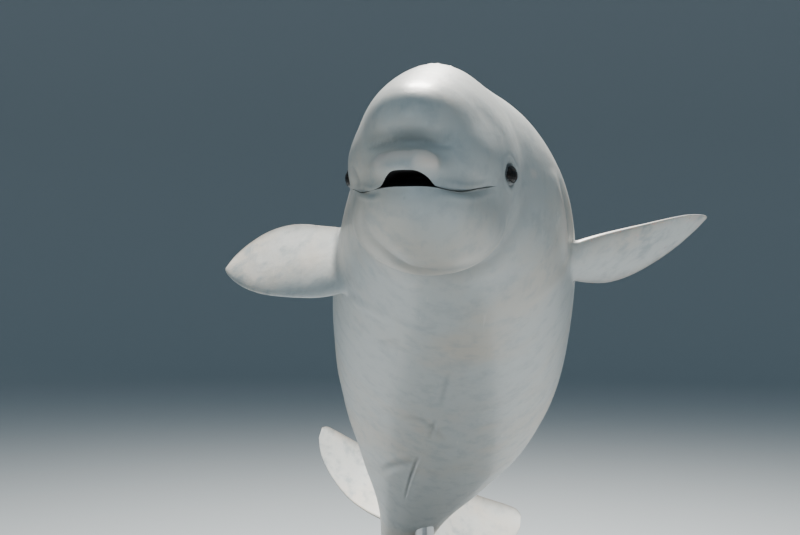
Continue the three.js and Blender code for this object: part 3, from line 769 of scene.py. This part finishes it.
lid_shade_mask = np.zeros(len(points))
for side in EYES.values():
    out = head_way(np.array([side * EYE_SIDE]), np.array([EYE_RISE]))
    middle = (out * (head_reach(out) - EYE_SUNK))[0]
    looks = head_way(np.array([side * EYE_LOOKS]), np.array([0.0]))[0]
    ahead = unit(np.array([0, 1.0, 0]) - looks * looks[1])
    over = np.cross(looks, ahead) * side
    from_ball = into_head(points) - middle
    high, u, v = from_ball @ looks, from_ball @ ahead, from_ball @ over
    cos, sin = math.cos(math.radians(EYE_TILT)), math.sin(math.radians(EYE_TILT))
    # r is 1 on the rim of the lids' opening, and grows outwards
    r = abs((u * cos + v * sin) / EYE_LONG) ** EYE_BLUNT + abs((v * cos - u * sin) / EYE_HIGH) ** EYE_BLUNT
    r = r ** (1 / EYE_BLUNT)
    near = (high > -60) & (r < 4)
    ball = np.sqrt(np.clip(EYE_BALL**2 - u**2 - v**2, 0, None))
    lid = ball + LID_OVER + LID_RIM * np.exp(-(((r - 1.16) / 0.16) ** 2))
    lid_zone = 1 - smooth_step(r, 1.05, 1.6)
    folds = -2.0 * np.exp(-(((r - 1.6) / 0.14) ** 2)) + 0.8 * np.exp(-(((r - 1.95) / 0.22) ** 2))
    folds += -1.2 * np.exp(-(((r - 2.35) / 0.18) ** 2))
    brow_ahead, brow_long, brow_high, brow_deep = BROW
    dip = brow_deep * np.exp(-(((u - brow_ahead) / brow_long) ** 2) - (v / brow_high) ** 2)
    wanted = np.where(r < 0.96, ball - LID_UNDER, lid)
    stronger_over = 0.6 + 0.4 * np.sign(v) * np.minimum(1, abs(v) / 20)
    change = lid_zone * (wanted - high) + (1 - lid_zone) * folds * stronger_over
    points = points + np.where(near, change - dip, 0)[:, None] * (looks @ head_axes)
    # painted shade over the eye's opening, fading over the hollow round it
    lid_shade_mask = np.maximum(lid_shade_mask, np.where(near, np.exp(-((np.maximum(r - 1.0, 0) / 0.5) ** 2)), 0))

skin.data.vertices.foreach_set("co", (points * MM).ravel())
skin.data.update()

# What the skin's finish has to know of each point comes from the nearest point of the rings it grew from.
BLADE_GREYS = (120, 360)  # distances from a blade's first ring between which it turns greyer
ring_points = [*rings]
mouth_shade_known = [mouth_shade_rings]
edge_known, out_known = [np.zeros(len(mouth_shade_rings))], [np.zeros(len(mouth_shade_rings))]
for rows in blade_rings:
    middles = np.array(rows).mean(1)
    ring_points += rows
    mouth_shade_known += [np.zeros(FOIL_POINTS)] * len(rows)
    edge_known += [foil_along**10] * len(rows)
    out_known += [np.full(FOIL_POINTS, out) for out in np.linalg.norm(middles - middles[0], axis=1)]
ring_tree = kd_tree(np.concatenate(ring_points))
nearest = np.array([ring_tree.find(p)[1] for p in metres / MM])


def paint(name, values):
    layer = skin.data.attributes.new(name, "FLOAT", "POINT")
    layer.data.foreach_set("value", np.asarray(values, np.float32))


paint("mouth", np.concatenate(mouth_shade_known)[nearest])
paint("edge", np.concatenate(edge_known)[nearest])
paint("fold", np.maximum(fold_shade_mask, slit_shade_mask))
paint("lid", lid_shade_mask)
paint("pale", pale_and_highlight_mask)
paint("blade", smooth_step(np.concatenate(out_known)[nearest], *BLADE_GREYS))


# Skin finish. Smooth, rubbery and wet. A grown beluga is white all over, a little cream in broad patches and
# greyer on the blades, whose thin edges are dark, with a faint mottle, fine scratches and a soft grain. A
# pinkish painted highlight lightens the upper lip's roll and the flank's ridge, beside a pale mark behind the
# eye, and painted shade darkens the folds, slits and pinholes, the eyes' openings and the hollows round them,
# and the mouth.
WHITE, CREAM, GREY = (0.6, 0.62, 0.61, 1), (0.66, 0.61, 0.54, 1), (0.36, 0.41, 0.43, 1)
# the second colour here is the pinkish cream of the painted highlight and of the pale mark behind the eye
SCRATCHED, HIGHLIGHT_AND_MARK_CREAM, EDGE_DARK = (0.8, 0.78, 0.74, 1), (0.93, 0.8, 0.71, 1), (0.11, 0.1, 0.085, 1)
# painted shade: in folds, slits and pinholes, in and round the eyes' openings, and inside the mouth
FOLD_SHADE, LID_SHADE, MOUTH_SHADE = (0.16, 0.19, 0.2, 1), (0.05, 0.055, 0.06, 1), (0.012, 0.009, 0.01, 1)


class Shade:
    """A number or colour that changes over a surface. Sums and products on it add Math nodes."""

    def __init__(self, finish, socket):
        self.finish, self.socket = finish, socket

    def math(self, operation, *values):
        return self.finish.node("ShaderNodeMath", {"operation": operation}, dict(enumerate(values)))

    def __add__(self, other):
        return self.math("ADD", self, other)

    def __mul__(self, other):
        return self.math("MULTIPLY", self, other)

    __radd__, __rmul__ = __add__, __mul__


class Finish:
    """A material's nodes."""

    def __init__(self, name):
        self.material = bpy.data.materials.new(name)
        self.material.use_nodes = True
        self.nodes, self.links = self.material.node_tree.nodes, self.material.node_tree.links
        self.shader = self.nodes["Principled BSDF"]

    def node(self, kind, settings, values, output=0):
        made = self.nodes.new(kind)
        for key, value in settings.items():
            setattr(made, key, value)
        for key, value in values.items():
            self.put(made.inputs[key], value)
        return Shade(self, made.outputs[output])

    def put(self, socket, value):
        if isinstance(value, Shade):
            self.links.new(value.socket, socket)
        else:
            socket.default_value = value

    def mix(self, factor, a, b):
        return self.node("ShaderNodeMix", {"data_type": "RGBA"}, {0: factor, 6: a, 7: b}, 2)

    def place(self, scale=(1, 1, 1), turn=(0, 0, 0)):
        there = self.node("ShaderNodeTexCoord", {}, {}, "Object")
        return self.node("ShaderNodeMapping", {}, {"Vector": there, "Scale": scale, "Rotation": turn})

    def noise(self, place, scale, detail=3.0, rough=0.5):
        values = {"Vector": place, "Scale": scale, "Detail": detail, "Roughness": rough}
        return self.node("ShaderNodeTexNoise", {}, values)

    def spread(self, value, low, high):
        """From 0 where the value is low to 1 where it is high."""
        values = {"Value": value, "From Min": low, "From Max": high}
        return self.node("ShaderNodeMapRange", {"interpolation_type": "SMOOTHSTEP"}, values)

    def painted(self, name):
        return self.node("ShaderNodeAttribute", {"attribute_name": name}, {}, "Fac")

    def bump(self, height, distance, under=None):
        values = {"Height": height, "Distance": distance, "Strength": 1.0}
        if under:
            values["Normal"] = under
        return self.node("ShaderNodeBump", {}, values)

    def set(self, **values):
        for name, value in values.items():
            self.put(self.shader.inputs[name.replace("_", " ")], value)


def wet_skin():
    finish = Finish("wet_white_skin")
    here = finish.place()
    broad = finish.noise(here, 2.6, 4.0)
    mottle = finish.noise(here, 19.0, 6.0, 0.62)
    grain = finish.noise(here, 420.0, 3.0, 0.6)
    along = finish.place(scale=(5.0, 1.1, 1.6), turn=(0.5, 0.1, 0.2))
    streaks = finish.noise(along, 9.0, 8.0, 0.7)
    raked = finish.place(scale=(30.0, 2.0, 5.0), turn=(0.4, 0.5, 0.3))
    scratches = finish.spread(finish.noise(raked, 2.4, 5.0), 0.695, 0.75)
    blade = finish.painted("blade")
    mouth_shade_mask = finish.spread(finish.painted("mouth"), 0.05, 0.9)
    colour = finish.mix(finish.spread(broad, 0.42, 0.66), WHITE, CREAM)
    colour = finish.mix(finish.spread(mottle, 0.45, 0.72) * (0.4 + blade * 0.45), colour, GREY)
    colour = finish.mix(finish.spread(streaks, 0.56, 0.74) * 0.3, colour, GREY)
    colour = finish.mix(scratches * 0.4, colour, SCRATCHED)
    # pinkish painted highlight on the lip's roll and the flank's ridge, and the pale mark behind the eye
    colour = finish.mix(finish.painted("pale"), colour, HIGHLIGHT_AND_MARK_CREAM)
    colour = finish.mix(finish.painted("edge") * 0.85, colour, EDGE_DARK)
    # painted shade in the folds, slits and pinholes
    colour = finish.mix(finish.painted("fold") * 0.5, colour, FOLD_SHADE)
    # painted shade in and round the eyes' openings
    colour = finish.mix(finish.painted("lid") * 0.9, colour, LID_SHADE)
    # painted shade inside the mouth, which also makes it rougher
    colour = finish.mix(mouth_shade_mask, colour, MOUTH_SHADE)
    lumps = finish.bump(broad, 0.012)
    soft = finish.bump(mottle, 0.0012, lumps)
    finish.set(
        Base_Color=colour,
        Roughness=0.36 + mottle * 0.16 + mouth_shade_mask * 0.3,
        Normal=finish.bump(grain + streaks * 0.6, 0.00022, soft),
        Subsurface_Weight=0.12,
        Subsurface_Radius=(0.02, 0.014, 0.01),
        Subsurface_Scale=1.0,
        Coat_Weight=0.18,
        Coat_Roughness=0.2,
    )
    return finish.material


skin.data.materials.clear()
skin.data.materials.append(wet_skin())
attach(skin, "root")
FLESH = [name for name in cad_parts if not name.startswith(("stand_", "eye_"))]
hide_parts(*FLESH)
skin.data.polygons.foreach_set("use_smooth", [True] * len(skin.data.polygons))


# Eyes. Small dark wet balls deep between the lids, nearly black with a brown cast. The frame's own balls stay
# as they are and only get their finish here.
EYE_BLACK, EYE_BROWN = (0.006, 0.005, 0.005, 1), (0.03, 0.019, 0.012, 1)


def wet_eye():
    finish = Finish("wet_dark_eye")
    here = finish.place()
    veins = finish.noise(here, 160.0, 5.0)
    finish.set(
        Base_Color=finish.mix(finish.spread(veins, 0.4, 0.7), EYE_BLACK, EYE_BROWN),
        Roughness=0.2 + veins * 0.1,
        Normal=finish.bump(veins, 0.0001),
        Specular_IOR_Level=0.3,
        Coat_Weight=0.12,
        Coat_Roughness=0.06,
    )
    return finish.material


def refinish(node, material):
    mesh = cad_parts[node].data
    mesh.materials.clear()
    mesh.materials.append(material)


eye_finish = wet_eye()
for name in EYES:
    refinish(name, eye_finish)

# Stand base. A flat plate of board with rounded corners and a small bevel, painted satin charcoal with a fine
# orange peel, and a little pale dust on it.
CHARCOAL, CHARCOAL_PALE, DUST = (0.036, 0.041, 0.047, 1), (0.05, 0.056, 0.062, 1), (0.12, 0.125, 0.13, 1)


def satin_paint():
    finish = Finish("satin_charcoal_paint")
    here = finish.place()
    cloudy = finish.noise(here, 5.0, 4.0)
    peel = finish.noise(here, 210.0, 2.0)
    dust = finish.spread(finish.noise(here, 34.0, 8.0, 0.75), 0.55, 0.8)
    colour = finish.mix(finish.spread(cloudy, 0.3, 0.7), CHARCOAL, CHARCOAL_PALE)
    finish.set(
        Base_Color=finish.mix(dust * 0.3, colour, DUST),
        Roughness=0.34 + cloudy * 0.12 + dust * 0.2,
        Normal=finish.bump(peel, 0.00018),
        Coat_Weight=0.15,
        Coat_Roughness=0.25,
    )
    return finish.material


refinish("stand_base", satin_paint())


# Stand rods and flanges. Round steel bar, drawn and brushed along its length, each in a turned flange that
# is bolted down to the base through four hex bolts on washers.
BOLTS = 4
BOLT_CIRCLE = 0.06  # the circle's radius where a flange doesn't set its own
BOLT_ACROSS, BOLT_HIGH = 0.013, 0.0055
BOLT_CROWN_TOP, BOLT_CROWN_FOOT, BOLT_CROWN_HIGH = 0.36 * BOLT_ACROSS, 0.47 * BOLT_ACROSS, 0.0012
WASHER_RADIUS, WASHER_HIGH = 0.0105, 0.0016
BOLT_INSET = 0.022  # from the flange's rim to the bolts' middle
BOLT_TURN = math.radians(45)
BOLT_SEED = 7
STAINED = (0.36, 0.355, 0.345, 1)


def brushed_steel(name, scale, base):
    finish = Finish(name)
    brushed = finish.noise(finish.place(scale=scale), 26.0, 6.0, 0.7)
    cloudy = finish.noise(finish.place(), 14.0, 4.0)
    stain = finish.spread(cloudy, 0.5, 0.8)
    finish.set(
        Base_Color=finish.mix(stain * 0.5, base, STAINED),
        Metallic=1.0,
        Roughness=0.24 + brushed * 0.16 + stain * 0.1,
        Normal=finish.bump(brushed, 0.00012),
    )
    return finish.material


def bolt_ring_tree(material):
    """Hex bolts on washers, on a circle, each tightened to its own angle."""
    tree = bpy.data.node_groups.new("flange_bolts", "GeometryNodeTree")
    tree.interface.new_socket("Geometry", in_out="OUTPUT", socket_type="NodeSocketGeometry")
    inputs = {}
    sizes = (("Bolts", "Int", BOLTS), ("Circle", "Float", BOLT_CIRCLE), ("Across", "Float", BOLT_ACROSS))
    for name, kind, value in sizes:
        made = tree.interface.new_socket(name, in_out="INPUT", socket_type=f"NodeSocket{kind}")
        made.default_value = value
        inputs[name] = made.identifier
    centre = tree.interface.new_socket("Centre", in_out="INPUT", socket_type="NodeSocketVector")
    inputs["Centre"] = centre.identifier
    enter, leave = tree.nodes.new("NodeGroupInput"), tree.nodes.new("NodeGroupOutput")

    def node(kind, values, **settings):
        made = tree.nodes.new(kind)
        for key, value in settings.items():
            setattr(made, key, value)
        for key, value in values.items():
            if isinstance(value, bpy.types.NodeSocket):
                tree.links.new(value, made.inputs[key])
            else:
                made.inputs[key].default_value = value
        return made

    to_corner = 0.5 / math.cos(math.pi / 6)
    half = node("ShaderNodeMath", {0: enter.outputs["Across"], 1: to_corner}, operation="MULTIPLY")
    washer = node("GeometryNodeMeshCylinder", {"Vertices": 28, "Radius": WASHER_RADIUS, "Depth": WASHER_HIGH})
    head = node("GeometryNodeMeshCylinder", {"Vertices": 6, "Radius": half.outputs[0], "Depth": BOLT_HIGH})
    crown_sizes = {"Radius Top": BOLT_CROWN_TOP, "Radius Bottom": BOLT_CROWN_FOOT, "Depth": BOLT_CROWN_HIGH}
    crown = node("GeometryNodeMeshCone", {"Vertices": 24, **crown_sizes})
    bolt = node("GeometryNodeJoinGeometry", {})
    heights = (WASHER_HIGH / 2, WASHER_HIGH + BOLT_HIGH / 2, WASHER_HIGH + BOLT_HIGH)
    for part, high in zip((washer, head, crown), heights):
        moved = node("GeometryNodeTransform", {"Geometry": part.outputs["Mesh"], "Translation": (0, 0, high)})
        tree.links.new(moved.outputs["Geometry"], bolt.inputs["Geometry"])
    circle_sizes = {"Vertices": enter.outputs["Bolts"], "Radius": enter.outputs["Circle"]}
    circle = node("GeometryNodeMeshCircle", circle_sizes)
    where = {"Translation": enter.outputs["Centre"], "Rotation": (0, 0, BOLT_TURN)}
    turned = node("GeometryNodeTransform", {"Geometry": circle.outputs["Mesh"], **where})
    spin = node("FunctionNodeRandomValue", {"Max": 1.0, "Seed": BOLT_SEED}, data_type="FLOAT")
    turn = node("ShaderNodeCombineXYZ", {"Z": spin.outputs["Value"]})
    what = {"Instance": bolt.outputs["Geometry"], "Rotation": turn.outputs["Vector"]}
    placed = node("GeometryNodeInstanceOnPoints", {"Points": turned.outputs["Geometry"], **what})
    real = node("GeometryNodeRealizeInstances", {"Geometry": placed.outputs["Instances"]})
    done = node("GeometryNodeSetMaterial", {"Geometry": real.outputs["Geometry"], "Material": material})
    tree.links.new(done.outputs["Geometry"], leave.inputs["Geometry"])
    return tree, inputs


bar_steel = brushed_steel("drawn_steel_bar", (9, 9, 0.35), (0.56, 0.57, 0.58, 1))
turned_steel = brushed_steel("turned_steel", (3, 3, 9), (0.52, 0.53, 0.54, 1))
bolt_steel = brushed_steel("zinc_bolts", (4, 4, 4), (0.6, 0.6, 0.57, 1))
bolt_tree, bolt_inputs = bolt_ring_tree(bolt_steel)

for place in ("front", "rear"):
    refinish(f"stand_rod_{place}", bar_steel)
    refinish(f"stand_flange_{place}", turned_steel)
    low, high = (np.array(corner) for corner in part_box(f"stand_flange_{place}"))
    name = f"flange_bolts_{place}"
    holder = bpy.data.objects.new(name, bpy.data.meshes.new(name))
    bpy.context.collection.objects.link(holder)
    nodes = holder.modifiers.new("bolts", "NODES")
    nodes.node_group = bolt_tree
    nodes[bolt_inputs["Circle"]] = float((high[0] - low[0]) / 2 - BOLT_INSET)
    nodes[bolt_inputs["Centre"]] = (float(low[0] + high[0]) / 2, float(low[1] + high[1]) / 2, float(high[2]))
    made = bpy.data.meshes.new_from_object(holder.evaluated_get(bpy.context.evaluated_depsgraph_get()))
    holder.modifiers.clear()
    holder.data = made
    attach(holder, "root")

boxes = {"cad": cad_box, "visual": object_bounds()}
{name: [list(map(float, corner)) for corner in box] for name, box in boxes.items()}
